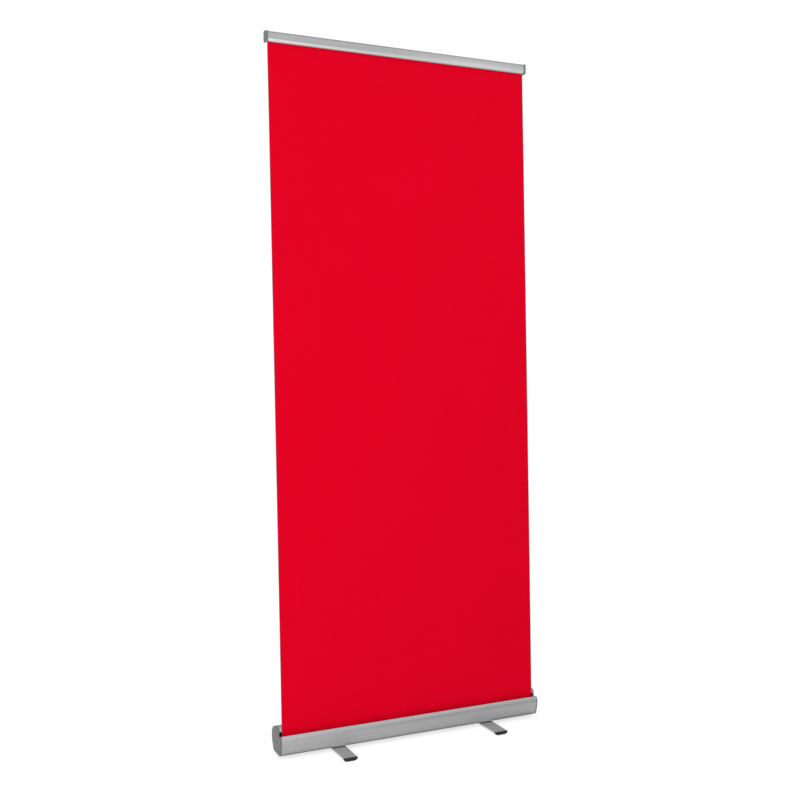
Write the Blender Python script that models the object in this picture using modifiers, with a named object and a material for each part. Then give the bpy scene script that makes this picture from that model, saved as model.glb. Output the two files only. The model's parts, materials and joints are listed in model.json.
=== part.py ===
"""Roll-up banner stand: cassette base, sprung roller, graphic, clamp rail, three-section pole, swivel feet.

Metres. X runs along the base, -Y is the front, +Z is up. The origin is on the floor under the
base's centre.
"""

import math

import bmesh
import bpy
from mathutils import Vector

# Driving dimensions
GAP = 0.0003                    # clearance between neighbouring pieces
BASE_LENGTH = 0.870             # over both end caps
BASE_WALL = 0.0018
BASE_FLOOR_Z = 0.010            # underside of the extrusion
END_CAP_THICKNESS = 0.004
GRAPHIC_WIDTH = 0.850
GRAPHIC_THICKNESS = 0.0005
GRAPHIC_LEAN = math.radians(2.0)
SLOT_Y = -0.0213                # where the graphic crosses the slot's height
SLOT_Z = 0.080
SLOT_NOTCH_Z = 0.062            # bottom of the slot cut in each end cap
ROLLER_Z = 0.044
ROLLER_RADIUS = 0.015
ROLLER_WALL = 0.001
ROLL_RADIUS = 0.017             # over the turns of graphic left on the roller
ROLLER_PLUG_LENGTH = 0.034      # of each end plug inside the roller
AXLE_RADIUS = 0.003
AXLE_BOSS_RADIUS = 0.009        # boss on each end cap round the axle
SPRING_RADIUS = 0.0085
SPRING_WIRE = 0.0009            # wire's radius
SPRING_START = 0.081
SPRING_END = 0.385
SPRING_TURNS = 22
RAIL_Z = 2.071                  # underside of the top rail
RAIL_DEPTH = 0.0192
RAIL_HEIGHT = 0.029
RAIL_CAP_THICKNESS = 0.0075
RAIL_WALL = 0.0018
JAW_BEAD_ACROSS = -0.0084       # jaw's hinge bead, from the rail's middle and underside
JAW_BEAD_UP = 0.0252
JAW_BEAD_RADIUS = 0.0012
POLE_RADIUS = 0.008
POLE_WALL = 0.001
POLE_Y = 0.0248                 # where the pole stands in the base
POLE_TOP_Z = 2.083
SECTION_LENGTH = 0.690          # of the lower and middle pole sections
FERRULE_REACH = 0.050           # length of a ferrule in each of the two tubes it joins
FERRULE_BORE = 0.0045
CORD_RADIUS = 0.0018
PLUG_LIP = 0.002                # thickness of the pole plugs' lips
FOOT_PLUG_LENGTH = 0.022
TOP_PLUG_LENGTH = 0.018
CLIP_WALL = 0.0013
CLIP_HALF_WIDTH = 0.008
CLIP_HALF_TONGUE = 0.0016
SOCKET_LOW = 0.015              # socket's underside, top and floor, above the base's inner floor
SOCKET_TOP = 0.078
SOCKET_FLOOR = 0.019
SOCKET_RADIUS = 0.0098
SOCKET_SCREW_Z = 0.042          # screw through the base's rear wall
FOOT_X = 0.251                  # from the centre to each foot's pivot
FOOT_LENGTH = 0.256             # over both rubber caps
FOOT_WIDTH = 0.044
FOOT_WALL = 0.0016
FOOT_UNDERSIDE = 0.0012         # the bar's lips, above the floor
FOOT_SHOULDER = 0.0012          # straight part of each side, under the top
FOOT_FLAT = 0.010               # half of the underside's flat part, between the curved sides
FOOT_OPENING = 0.0092           # half of the opening along the underside
FOOT_CAP_THICKNESS = 0.005
GROOVE_COUNT = 5
GROOVE_PITCH = 0.0076
GROOVE_WIDTH = 0.0024           # at the foot's top face
GROOVE_FLOOR = 0.0014
GROOVE_DEPTH = 0.0006
BOLT_RADIUS = 0.0025
WASHER_THICKNESS = 0.001
PLATE_THICKNESS = 0.003

# Derived dimensions
HOUSING_END = BASE_LENGTH / 2 - END_CAP_THICKNESS
GRAPHIC_END = GRAPHIC_WIDTH / 2
ROLLER_END = GRAPHIC_END - 0.001
ROLLER_Y = SLOT_Y - (SLOT_Z - ROLLER_Z) * math.tan(GRAPHIC_LEAN) + ROLL_RADIUS + GAP + GRAPHIC_THICKNESS
RAIL_TRAVEL = (RAIL_Z - SLOT_Z) / math.cos(GRAPHIC_LEAN)
RAIL_Y = SLOT_Y + RAIL_TRAVEL * math.sin(GRAPHIC_LEAN)
FLOOR_TOP = BASE_FLOOR_Z + BASE_WALL
POLE_TOP_Y = RAIL_Y + RAIL_DEPTH / 2 + POLE_RADIUS + 0.0025
POLE_LEAN = math.atan((POLE_TOP_Y - POLE_Y) / (POLE_TOP_Z - FLOOR_TOP))
FOOT_TOP = BASE_FLOOR_Z - GAP
BOLT_HOLE = BOLT_RADIUS + GAP
AXLE_BORE = AXLE_RADIUS + GAP

# Screw ports along the extrusion, as (y, z) centres
SCREW_PORTS = {"top": (-0.006, 0.0843), "front": (-0.0342, 0.0265), "rear": (0.0396, 0.056)}
PORT_RADIUS = 0.0026
PORT_HOLE = 0.0014
SCREW_RECESS = 0.0019           # depth of the recess for each end-cap screw's head

COLOURS = {                     # base colour, roughness, metallic
    "anodised_silver": ((0.42, 0.43, 0.44), 0.38, 0.9),
    "cap_grey": ((0.19, 0.20, 0.20), 0.5, 0.0),
    "graphic_red": ((0.74, 0.0, 0.018), 0.45, 0.0),
    "rubber_black": ((0.02, 0.02, 0.02), 0.8, 0.0),
    "nylon_white": ((0.75, 0.75, 0.72), 0.5, 0.0),
    "nylon_black": ((0.03, 0.03, 0.03), 0.5, 0.0),
    "zinc_steel": ((0.55, 0.55, 0.54), 0.35, 1.0),
    "spring_steel": ((0.28, 0.28, 0.28), 0.4, 1.0),
    "cord_black": ((0.03, 0.03, 0.035), 0.9, 0.0),
}

ALONG_X = (math.radians(90), 0, math.radians(90))     # outline (y, z) swept along X
ALONG_Y = (math.radians(90), 0, 0)                    # outline (x, z) swept along Y
AXIS_X = (0, math.radians(90), 0)                     # turned piece laid along X


# Scene and materials

def clear_scene():
    for item in list(bpy.data.objects):
        bpy.data.objects.remove(item, do_unlink=True)


def make_collection(name):
    collection = bpy.data.collections.new(name)
    bpy.context.scene.collection.children.link(collection)
    return collection


def make_material(name):
    colour, roughness, metallic = COLOURS[name]
    material = bpy.data.materials.new(name)
    material.use_nodes = True
    shader = material.node_tree.nodes["Principled BSDF"]
    shader.inputs["Base Color"].default_value = (*colour, 1)
    shader.inputs["Roughness"].default_value = roughness
    shader.inputs["Metallic"].default_value = metallic
    return material


clear_scene()
PARTS = make_collection("rollup_banner_stand")
CUTTERS = make_collection("cutters")
MATERIALS = {name: make_material(name) for name in COLOURS}


# Modelling helpers

def add_object(name, data, material, parent=None, location=(0, 0, 0), rotation=(0, 0, 0)):
    item = bpy.data.objects.new(name, data)
    PARTS.objects.link(item)
    if not data.materials:
        data.materials.append(MATERIALS[material])
    item.parent = parent
    item.location = location
    item.rotation_euler = rotation
    return item


def add_empty(name, location, rotation=(0, 0, 0), parent=None):
    empty = bpy.data.objects.new(name, None)
    PARTS.objects.link(empty)
    empty.parent = parent
    empty.location = location
    empty.rotation_euler = rotation
    return empty


def finish_smooth(item, angle=35):
    item.data.shade_smooth()
    item.data.set_sharp_from_angle(angle=math.radians(angle))
    return item


def box(name, material, low, high, **place):
    """A block between two corners, given in the parent's frame."""
    size = Vector(high) - Vector(low)
    centre = (Vector(high) + Vector(low)) / 2
    mesh = bpy.data.meshes.new(name)
    cage = bmesh.new()
    bmesh.ops.create_cube(cage, size=1)
    bmesh.ops.scale(cage, vec=size, verts=cage.verts)
    bmesh.ops.translate(cage, vec=centre, verts=cage.verts)
    cage.to_mesh(mesh)
    cage.free()
    return add_object(name, mesh, material, **place)


def rod(name, material, radius, low, high, steps=24, **place):
    """A solid cylinder on the local Z axis from low to high."""
    mesh = bpy.data.meshes.new(name)
    cage = bmesh.new()
    bmesh.ops.create_cone(cage, cap_ends=True, segments=steps, radius1=radius, radius2=radius,
                          depth=high - low)
    bmesh.ops.translate(cage, vec=(0, 0, (low + high) / 2), verts=cage.verts)
    cage.to_mesh(mesh)
    cage.free()
    return finish_smooth(add_object(name, mesh, material, **place))


def turned(name, material, profile, steps=24, **place):
    """Turn a (radius, height) profile about the local Z axis.

    The profile runs down the outer side. It closes on itself when it keeps off the axis.
    """
    closed = all(radius > 0 for radius, _ in profile)
    count = len(profile)
    mesh = bpy.data.meshes.new(name)
    edges = [(i, (i + 1) % count) for i in range(count if closed else count - 1)]
    mesh.from_pydata([(radius, 0, height) for radius, height in profile], edges, [])
    item = add_object(name, mesh, material, **place)
    screw = item.modifiers.new("turn", "SCREW")
    screw.steps = screw.render_steps = steps
    screw.use_merge_vertices = True
    screw.merge_threshold = 0.00001
    screw.use_normal_calculate = False
    return item


def tube(name, material, outer, inner, low, high, steps=24, **place):
    profile = [(outer, high), (outer, low), (inner, low), (inner, high)]
    return turned(name, material, profile, steps, **place)


def prism(name, material, outlines, low, high, rotation, **place):
    """Sweep flat closed outlines between two positions along the outline's normal."""
    curve = bpy.data.curves.new(name, "CURVE")
    curve.dimensions = "2D"
    curve.fill_mode = "BOTH"
    curve.extrude = (high - low) / 2
    for outline in outlines:
        spline = curve.splines.new("POLY")
        spline.points.add(len(outline) - 1)
        for point, (across, up) in zip(spline.points, outline):
            point.co = (across, up, 0, 1)
        spline.use_cyclic_u = True
    swept = add_object(name + "_outline", curve, material, rotation=rotation, **place)
    middle = Vector((0, 0, (low + high) / 2))
    middle.rotate(swept.rotation_euler)
    swept.location += middle
    return as_mesh(swept, name)


def as_mesh(curve_item, name):
    """Replace a curve object by the closed mesh it evaluates to."""
    bpy.context.view_layer.update()
    evaluated = curve_item.evaluated_get(bpy.context.evaluated_depsgraph_get())
    mesh = bpy.data.meshes.new_from_object(evaluated)
    mesh.name = name
    cage = bmesh.new()
    cage.from_mesh(mesh)
    bmesh.ops.remove_doubles(cage, verts=cage.verts, dist=0.00001)
    bmesh.ops.recalc_face_normals(cage, faces=cage.faces)
    cage.to_mesh(mesh)
    cage.free()
    item = bpy.data.objects.new(name, mesh)
    PARTS.objects.link(item)
    item.parent = curve_item.parent
    item.matrix_world = curve_item.matrix_world
    bpy.data.objects.remove(curve_item, do_unlink=True)
    return item


def combine(item, tool, operation):
    """Join a tool to a piece, or cut the piece with it; the tool becomes a hidden cutter."""
    PARTS.objects.unlink(tool)
    CUTTERS.objects.link(tool)
    tool.hide_render = True
    tool.display_type = "WIRE"
    change = item.modifiers.new(tool.name, "BOOLEAN")
    change.operation = operation
    change.object = tool
    return item


def join(item, *tools):
    for tool in tools:
        combine(item, tool, "UNION")
    return item


def cut(item, *tools):
    for tool in tools:
        combine(item, tool, "DIFFERENCE")
    return item


def round_edges(item, width, segments=2, angle=50):
    bevel = item.modifiers.new("rounded", "BEVEL")
    bevel.width = width
    bevel.segments = segments
    bevel.limit_method = "ANGLE"
    bevel.angle_limit = math.radians(angle)
    return finish_smooth(item)


def smooth_path(points, steps=4):
    """A Catmull-Rom curve through the points, as a list of (across, up) pairs."""
    vectors = [Vector(p) for p in points]
    ends = [2 * vectors[0] - vectors[1]] + vectors + [2 * vectors[-1] - vectors[-2]]
    path = []
    for a, b, c, d in zip(ends, ends[1:], ends[2:], ends[3:]):
        for step in range(steps):
            t = step / steps
            square = (2 * a - 5 * b + 4 * c - d) * t ** 2
            cube = (3 * b - a - 3 * c + d) * t ** 3
            path.append(tuple((2 * b + (c - a) * t + square + cube) / 2))
    path.append(tuple(vectors[-1]))
    return path


def fillet(corners, steps=4):
    """A closed outline with each (across, up, radius) corner rounded by an arc."""
    outline = []
    for before, corner, after in zip(corners[-1:] + corners, corners, corners[1:] + corners[:1]):
        point = Vector(corner[:2])
        if corner[2] == 0:
            outline.append(tuple(point))
            continue
        back = (Vector(before[:2]) - point).normalized()
        ahead = (Vector(after[:2]) - point).normalized()
        half = back.angle(ahead) / 2
        centre = point + (back + ahead).normalized() * corner[2] / math.sin(half)
        start = point + back * corner[2] / math.tan(half) - centre
        sweep = (math.pi - 2 * half) * (1 if back.cross(ahead) < 0 else -1)
        for step in range(steps + 1):
            turn = sweep * step / steps
            arm = Vector((start.x * math.cos(turn) - start.y * math.sin(turn),
                          start.x * math.sin(turn) + start.y * math.cos(turn)))
            outline.append(tuple(centre + arm))
    return outline


def arc(centre, radius, start, end, steps):
    angles = [math.radians(start + (end - start) * i / steps) for i in range(steps + 1)]
    return [(centre[0] + radius * math.cos(a), centre[1] + radius * math.sin(a)) for a in angles]


def pan_screw(name, material, radius, length, **place):
    """A pan-head screw with its shank down the local Z axis and its head's underside at zero."""
    head = radius * 2
    profile = [(0, radius * 1.2), (head * 0.6, radius * 1.1), (head * 0.93, radius * 0.6), (head, 0),
               (radius, 0), (radius, -length), (0, -length)]
    return turned(name, material, profile, 12, **place)


# Base section

def base_section():
    """The extrusion's outer line, from the slot's rear lip round the back and floor to the front lip."""
    rear = [(-0.0196, 0.0770), (-0.0196, 0.0825), (-0.0140, 0.0872), (0.0040, 0.0884), (0.0240, 0.0838),
            (0.0375, 0.0735), (0.0432, 0.0575), (0.0412, 0.0400), (0.0355, 0.0240), (0.0285, 0.0124),
            (0.0200, BASE_FLOOR_Z)]
    front = [(-0.0275, BASE_FLOOR_Z), (-0.0322, 0.0113), (-0.0350, 0.0160), (-0.0382, 0.0270),
             (-0.0409, 0.0385), (-0.0426, 0.0500), (-0.0408, 0.0612), (-0.0358, 0.0692)]
    return smooth_path(rear) + smooth_path(front)


def base_housing():
    """The aluminium extrusion: one open section, with screw ports on its inside."""
    section = base_section()
    mesh = bpy.data.meshes.new("base_housing")
    count = len(section)
    points = [(x, y, z) for x in (-HOUSING_END, HOUSING_END) for y, z in section]
    faces = [(i + 1, i, i + count, i + count + 1) for i in range(count - 1)]
    mesh.from_pydata(points, [], faces)
    housing = add_object("base_housing", mesh, "anodised_silver")
    shell = housing.modifiers.new("wall", "SOLIDIFY")
    shell.thickness = BASE_WALL
    shell.offset = -1
    shell.use_even_offset = True
    for place, (y, z) in SCREW_PORTS.items():
        port = tube("port_" + place, "anodised_silver", PORT_RADIUS, PORT_HOLE, -HOUSING_END,
                    HOUSING_END, 16, location=(0, y, z), rotation=AXIS_X)
        join(housing, port)
    cut(housing, rod("cutter_pole_hole", "cap_grey", 0.0101, 0.050, 0.120, parent=pole_axis))
    cut(housing, rod("cutter_socket_screw", "cap_grey", 0.0014, -0.050, -0.036, 12, rotation=ALONG_Y,
                     location=(0, 0, SOCKET_SCREW_Z)))
    for side, x in SIDES.items():
        cut(housing, rod("cutter_foot_bolt_" + side, "cap_grey", BOLT_HOLE, 0.0, 0.015,
                         location=(x, 0, 0)))
    return housing


def end_cap(side, sign):
    """A moulded cap with the extrusion's outline, its slot, and a boss for the roller's axle."""
    notch = [(-0.0345, SLOT_NOTCH_Z), (-0.0204, SLOT_NOTCH_Z)]
    inner, outer = sorted((sign * (HOUSING_END + GAP), sign * BASE_LENGTH / 2))
    cap = prism("end_cap_" + side, "cap_grey", [base_section() + notch], inner, outer, ALONG_X)
    round_edges(cap, 0.0008, 1)
    boss_low, boss_high = sorted((sign * (GRAPHIC_END + 0.001), sign * (HOUSING_END + 0.002)))
    join(cap, rod("boss_" + side, "cap_grey", AXLE_BOSS_RADIUS, boss_low, boss_high, rotation=AXIS_X,
                  location=(0, ROLLER_Y, ROLLER_Z)))
    reach = BASE_LENGTH / 2 + 0.01
    bore_low, bore_high = sorted((sign * (GRAPHIC_END - 0.01), sign * reach))
    cut(cap, rod("axle_bore_" + side, "cap_grey", AXLE_BORE, bore_low, bore_high, 24, rotation=AXIS_X,
                 location=(0, ROLLER_Y, ROLLER_Z)))
    seat = BASE_LENGTH / 2 - SCREW_RECESS
    for place, (y, z) in SCREW_PORTS.items():
        label = "_%s_%s" % (place, side)
        spot = {"rotation": AXIS_X, "location": (0, y, z)}
        hole_low, hole_high = sorted((sign * (HOUSING_END - 0.01), sign * reach))
        cut(cap, rod("hole" + label, "cap_grey", PORT_HOLE, hole_low, hole_high, 12, **spot))
        recess_low, recess_high = sorted((sign * seat, sign * reach))
        cut(cap, rod("recess" + label, "cap_grey", 0.0027, recess_low, recess_high, 12, **spot))
        pan_screw("end_cap_screw" + label, "zinc_steel", 0.0011, 0.014,
                  location=(sign * (seat + GAP), y, z), rotation=(0, math.radians(90 * sign), 0))
    return cap


# Roller inside the base

def roller():
    """Tube on two plugs; the right-hand plug turns on the spring's fixed axle."""
    along = {"parent": roller_axis}
    bore = ROLLER_RADIUS - ROLLER_WALL - GAP
    tube("roller_tube", "anodised_silver", ROLLER_RADIUS, ROLLER_RADIUS - ROLLER_WALL, -ROLLER_END,
         ROLLER_END, 32, **along)
    tube("banner_roll", "graphic_red", ROLL_RADIUS, ROLLER_RADIUS + GAP, -GRAPHIC_END, GRAPHIC_END, 40,
         **along)
    flange = ROLLER_END + GAP
    inner_end = flange - ROLLER_PLUG_LENGTH
    plug = [(ROLLER_RADIUS, flange + 0.001), (ROLLER_RADIUS, flange), (bore, flange), (bore, inner_end),
            (AXLE_BORE, inner_end), (AXLE_BORE, flange + 0.001)]
    turned("roller_bush_right", "nylon_white", plug, **along)
    mirrored = [(radius, -height) for radius, height in reversed(plug)]
    turned("roller_plug_left", "nylon_white", mirrored, **along)
    axle_end = BASE_LENGTH / 2 - 0.001
    rod("idler_pin_left", "zinc_steel", AXLE_RADIUS, -axle_end, -axle_end + 0.040, **along)
    rod("spring_axle", "zinc_steel", AXLE_RADIUS, 0.060, axle_end, **along)


def spring():
    """Torsion spring round the fixed axle, between the axle's anchor collar and the roller's bush."""
    tube("spring_anchor", "nylon_black", SPRING_RADIUS + 0.002, AXLE_BORE, SPRING_START - 0.019,
         SPRING_START - 0.001, parent=roller_axis)
    curve = bpy.data.curves.new("torsion_spring", "CURVE")
    curve.dimensions = "3D"
    curve.bevel_depth = SPRING_WIRE
    curve.bevel_resolution = 1
    curve.use_fill_caps = True
    coil = curve.splines.new("POLY")
    points_per_turn = 8
    count = SPRING_TURNS * points_per_turn
    coil.points.add(count)
    for i, point in enumerate(coil.points):
        angle = 2 * math.pi * i / points_per_turn
        along = SPRING_START + (SPRING_END - SPRING_START) * i / count
        point.co = (SPRING_RADIUS * math.cos(angle), SPRING_RADIUS * math.sin(angle), along, 1)
    add_object("torsion_spring", curve, "spring_steel", parent=roller_axis)


# Graphic and top rail, in a frame that leans with the graphic

def graphic():
    depth = GRAPHIC_THICKNESS / 2
    foot = (ROLLER_Z - SLOT_Z) / math.cos(GRAPHIC_LEAN) - RAIL_TRAVEL
    box("banner_graphic", "graphic_red", (-GRAPHIC_END, -depth, foot), (GRAPHIC_END, depth, 0.022),
        parent=rail_axis)


def rail_back():
    """Rear extrusion of the clamp: back wall, top, jaw hook, and the channel the pole's clip enters."""
    face = GRAPHIC_THICKNESS / 2 + GAP
    rear, front, top = RAIL_DEPTH / 2, -RAIL_DEPTH / 2, RAIL_HEIGHT
    ceiling = top - RAIL_WALL
    middle_wall = [(face, 0.001, 0), (face + 0.0016, 0.001, 0.0005), (face + 0.0016, ceiling, 0.0005)]
    rear_wall = [(rear - 0.0014, ceiling, 0.0005), (rear - 0.0014, 0.013, 0), (rear, 0.013, 0.0005),
                 (rear, top, 0.0012)]
    hook = [(front, top, 0.0014), (front, top - 0.0022, 0), (-0.0066, top - 0.0022, 0),
            (-0.0066, 0.0242, 0), (-0.0072, 0.0237, 0), (-0.0072, 0.0226, 0), (-0.0054, 0.0226, 0.0004),
            (-0.0054, ceiling, 0.0005)]
    outline = fillet(middle_wall + rear_wall + hook + [(face, ceiling, 0.0005)], 3)
    back = prism("top_rail_back", "anodised_silver", [outline], -GRAPHIC_END, GRAPHIC_END, ALONG_X,
                 parent=rail_axis)
    return finish_smooth(back)


def rail_jaw():
    """Curved front of the clamp, hung from a round bead at its top."""
    bead = (JAW_BEAD_ACROSS, JAW_BEAD_UP)
    outer = smooth_path([(-0.0096, 0.0250), (-0.0101, 0.0140), (-0.0094, 0.0035), (-0.0078, 0.0004)], 4)
    lip = [(-0.0016, 0.0004), (-0.0006, 0.0012), (-0.0012, 0.0020)]
    inner = smooth_path([(-0.0072, 0.0020), (-0.0080, 0.0040), (-0.0087, 0.0140), (-0.0083, 0.0238)], 4)
    outline = outer + lip + inner + arc(bead, JAW_BEAD_RADIUS, -50, 165, 10)
    pivoted = [(across - bead[0], up - bead[1]) for across, up in outline]
    jaw = prism("top_rail_jaw", "anodised_silver", [pivoted], -GRAPHIC_END + GAP, GRAPHIC_END - GAP,
                ALONG_X, parent=jaw_axis)
    return finish_smooth(jaw)


def rail_cap(side, sign):
    """End cap a little taller than the rail, with a lug in the rail's rear channel."""
    corners = [(-0.0105, -0.0004, 0.002), (0.0103, -0.0004, 0.002), (0.0103, 0.0296, 0.002),
               (0.0, 0.0312, 0.003), (-0.0105, 0.0296, 0.002)]
    inner, outer = sorted((sign * (GRAPHIC_END + GAP), sign * (GRAPHIC_END + RAIL_CAP_THICKNESS)))
    cap = prism("top_rail_cap_" + side, "cap_grey", [fillet(corners)], inner, outer, ALONG_X,
                parent=rail_axis)
    round_edges(cap, 0.0005)
    lug_low, lug_high = sorted((sign * (GRAPHIC_END - 0.010), sign * (GRAPHIC_END + 0.0015)))
    join(cap, box("lug_" + side, "cap_grey", (lug_low, 0.0029, 0.0150), (lug_high, 0.0076, 0.0262),
                  parent=rail_axis))
    return cap


# Pole, in a frame that leans with it

def pole():
    bore = POLE_RADIUS - POLE_WALL
    snug = bore - GAP
    along = {"parent": pole_axis}
    foot = SOCKET_FLOOR + GAP
    plug_top = foot + FOOT_PLUG_LENGTH
    plug = [(0, plug_top), (snug, plug_top), (snug, foot + PLUG_LIP), (POLE_RADIUS, foot + PLUG_LIP),
            (POLE_RADIUS, foot + 0.0006), (POLE_RADIUS - 0.0006, foot), (0, foot)]
    turned("pole_foot_plug", "nylon_black", plug, **along)
    low = foot + PLUG_LIP + GAP
    names = ("lower", "middle", "upper")
    tops = (low + SECTION_LENGTH, low + 2 * SECTION_LENGTH, (POLE_TOP_Z - FLOOR_TOP) / math.cos(POLE_LEAN))
    for name, top in zip(names, tops):
        tube("pole_%s_tube" % name, "anodised_silver", POLE_RADIUS, bore, low, top - GAP, **along)
        if name != "upper":
            tube("pole_%s_ferrule" % name, "zinc_steel", snug, FERRULE_BORE, top - FERRULE_REACH,
                 top + FERRULE_REACH, **along)
        low = top
    plug_low = low - TOP_PLUG_LENGTH
    top_plug = [(0, low + 0.0015), (POLE_RADIUS, low + 0.0015), (POLE_RADIUS, low), (snug, low),
                (snug, plug_low), (0, plug_low)]
    turned("pole_top_plug", "nylon_black", top_plug, **along)
    rod("shock_cord", "cord_black", CORD_RADIUS, plug_top + GAP, plug_low - GAP, 12, **along)
    pole_clip(low)


def pole_socket():
    """Cup under the base's top wall, held by a screw through the rear wall."""
    well = POLE_RADIUS + GAP
    cup = [(0, SOCKET_FLOOR), (well, SOCKET_FLOOR), (well, SOCKET_TOP - 0.001),
           (well + 0.0007, SOCKET_TOP), (SOCKET_RADIUS, SOCKET_TOP), (SOCKET_RADIUS, SOCKET_LOW + 0.004),
           (0.007, SOCKET_LOW), (0, SOCKET_LOW)]
    socket = turned("pole_socket", "nylon_black", cup, parent=pole_axis)
    half = 0.0055
    boss = box("socket_boss", "nylon_black", (-half, POLE_Y + well + 0.0006, SOCKET_SCREW_Z - half),
               (half, 0.0375, SOCKET_SCREW_Z + half))
    pilot = rod("cutter_socket_pilot", "nylon_black", 0.0013, -0.045, -0.0345, 12, rotation=ALONG_Y,
                location=(0, 0, SOCKET_SCREW_Z))
    cut(join(socket, boss), pilot)
    pan_screw("pole_socket_screw", "zinc_steel", 0.0010, 0.0072, rotation=(-math.pi / 2, 0, 0),
              location=(0, 0.0425, SOCKET_SCREW_Z))


def pole_clip(top):
    """Clip sleeved on the pole's top, with a tongue that stands in the rail's rear channel."""
    clip = tube("pole_top_clip", "nylon_black", POLE_RADIUS + GAP + CLIP_WALL, POLE_RADIUS + GAP,
                top - 0.030, top - 0.001, parent=pole_axis)
    channel_y = RAIL_Y - POLE_TOP_Y + 0.0054
    front, low = channel_y - CLIP_HALF_TONGUE, top - 0.012
    arm = box("clip_arm", "nylon_black", (-CLIP_HALF_WIDTH, front, low),
              (CLIP_HALF_WIDTH, -POLE_RADIUS - 0.0008, top - 0.003), parent=pole_axis)
    tongue = box("clip_tongue", "nylon_black", (-CLIP_HALF_WIDTH, front, low),
                 (CLIP_HALF_WIDTH, channel_y + CLIP_HALF_TONGUE, top + 0.012), parent=pole_axis)
    return join(clip, arm, tongue)


# Feet

def foot_side(inset, low, top):
    """Right side of the foot's boat-shaped section, from its shoulder round to the underside, as (x, z)."""
    width = FOOT_WIDTH / 2 - inset - FOOT_FLAT
    shoulder = top - FOOT_SHOULDER
    angles = [math.radians(90 * i / 6) for i in range(7)]
    return [(FOOT_FLAT + width * math.cos(a), shoulder - (shoulder - low) * math.sin(a)) for a in angles]


def foot_outline(inset, low, top):
    """The section as a closed outline: flat top, sides that curve in to a narrower underside."""
    side = foot_side(inset, low, top)
    edge = FOOT_WIDTH / 2 - inset
    corners = [(-edge, top, 0.0009), (edge, top, 0.0009)] + [(x, z, 0) for x, z in side]
    return fillet(corners + [(-x, z, 0) for x, z in reversed(side)], 3)


def foot_section():
    """The bar: that outline as a channel, with grooves along its top and an opening along its underside."""
    half, ceiling = FOOT_WIDTH / 2, FOOT_TOP - FOOT_WALL
    grooves = []
    for i in range(GROOVE_COUNT):
        centre = (i - (GROOVE_COUNT - 1) / 2) * GROOVE_PITCH
        grooves += [(centre - GROOVE_WIDTH / 2, FOOT_TOP, 0),
                    (centre - GROOVE_FLOOR / 2, FOOT_TOP - GROOVE_DEPTH, 0),
                    (centre + GROOVE_FLOOR / 2, FOOT_TOP - GROOVE_DEPTH, 0),
                    (centre + GROOVE_WIDTH / 2, FOOT_TOP, 0)]
    lip = [(FOOT_OPENING, FOOT_UNDERSIDE), (FOOT_OPENING, FOOT_UNDERSIDE + FOOT_WALL)]
    inner = foot_side(FOOT_WALL, FOOT_UNDERSIDE + FOOT_WALL, ceiling)
    side = foot_side(0, FOOT_UNDERSIDE, FOOT_TOP) + lip + inner[::-1]
    right = [(x, z, 0) for x, z in side] + [(half - FOOT_WALL, ceiling, 0.0005)]
    left = [(-x, z, radius) for x, z, radius in reversed(right)]
    return fillet([(-half, FOOT_TOP, 0.0009)] + grooves + [(half, FOOT_TOP, 0.0009)] + right + left, 3)


def foot(side, x):
    """Swivel foot: bar, two rubber caps, and the bolt that holds it under the base."""
    axis = add_empty("foot_axis_" + side, (x, 0, 0))
    reach = FOOT_LENGTH / 2 - FOOT_CAP_THICKNESS - GAP
    bar = prism("foot_bar_" + side, "anodised_silver", [foot_section()], -reach, reach, ALONG_Y,
                parent=axis)
    finish_smooth(bar)
    cut(bar, rod("cutter_foot_hole_" + side, "cap_grey", BOLT_HOLE, 0.0, 0.015, parent=axis))
    flange = foot_outline(0, 0, FOOT_TOP)
    inside = foot_outline(FOOT_WALL + GAP, FOOT_UNDERSIDE + FOOT_WALL + GAP, FOOT_TOP - FOOT_WALL - GAP)
    for place, sign in (("front", 1), ("rear", -1)):
        inner, outer = sorted((sign * (reach + GAP), sign * FOOT_LENGTH / 2))
        cap = prism("foot_cap_%s_%s" % (side, place), "rubber_black", [flange], inner, outer, ALONG_Y,
                    parent=axis)
        round_edges(cap, 0.0006, 1)
        low, high = sorted((sign * (reach - 0.016), sign * (reach + 0.002)))
        join(cap, prism("plug_%s_%s" % (side, place), "rubber_black", [inside], low, high, ALONG_Y,
                        parent=axis))
    foot_fasteners(side, x)


def foot_fasteners(side, x):
    """Bolt from below through a nylon washer, bar and base floor, into a plate and nut inside the base."""
    pivot = {"location": (x, 0, 0)}
    under = FOOT_TOP - FOOT_WALL - GAP
    plate_top = FLOOR_TOP + GAP + PLATE_THICKNESS
    tube("foot_washer_" + side, "nylon_white", 0.0085, BOLT_HOLE, under - WASHER_THICKNESS, under, **pivot)
    head = under - WASHER_THICKNESS - GAP
    bolt = [(0, plate_top + 0.006), (BOLT_RADIUS, plate_top + 0.006), (BOLT_RADIUS, head), (0.0055, head),
            (0.0055, head - 0.0012), (0.0040, head - 0.0026), (0, head - 0.0026)]
    turned("foot_bolt_" + side, "zinc_steel", bolt, **pivot)
    plate = box("foot_plate_" + side, "zinc_steel", (-0.030, -0.0155, FLOOR_TOP + GAP),
                (0.030, 0.0155, plate_top), **pivot)
    cut(plate, rod("cutter_plate_" + side, "cap_grey", BOLT_HOLE, 0.0, 0.030, **pivot))
    nut = rod("foot_nut_" + side, "zinc_steel", 0.0050, plate_top + GAP, plate_top + 0.0045, 6, **pivot)
    cut(nut, rod("cutter_nut_" + side, "cap_grey", BOLT_HOLE, 0.0, 0.030, **pivot))


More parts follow.
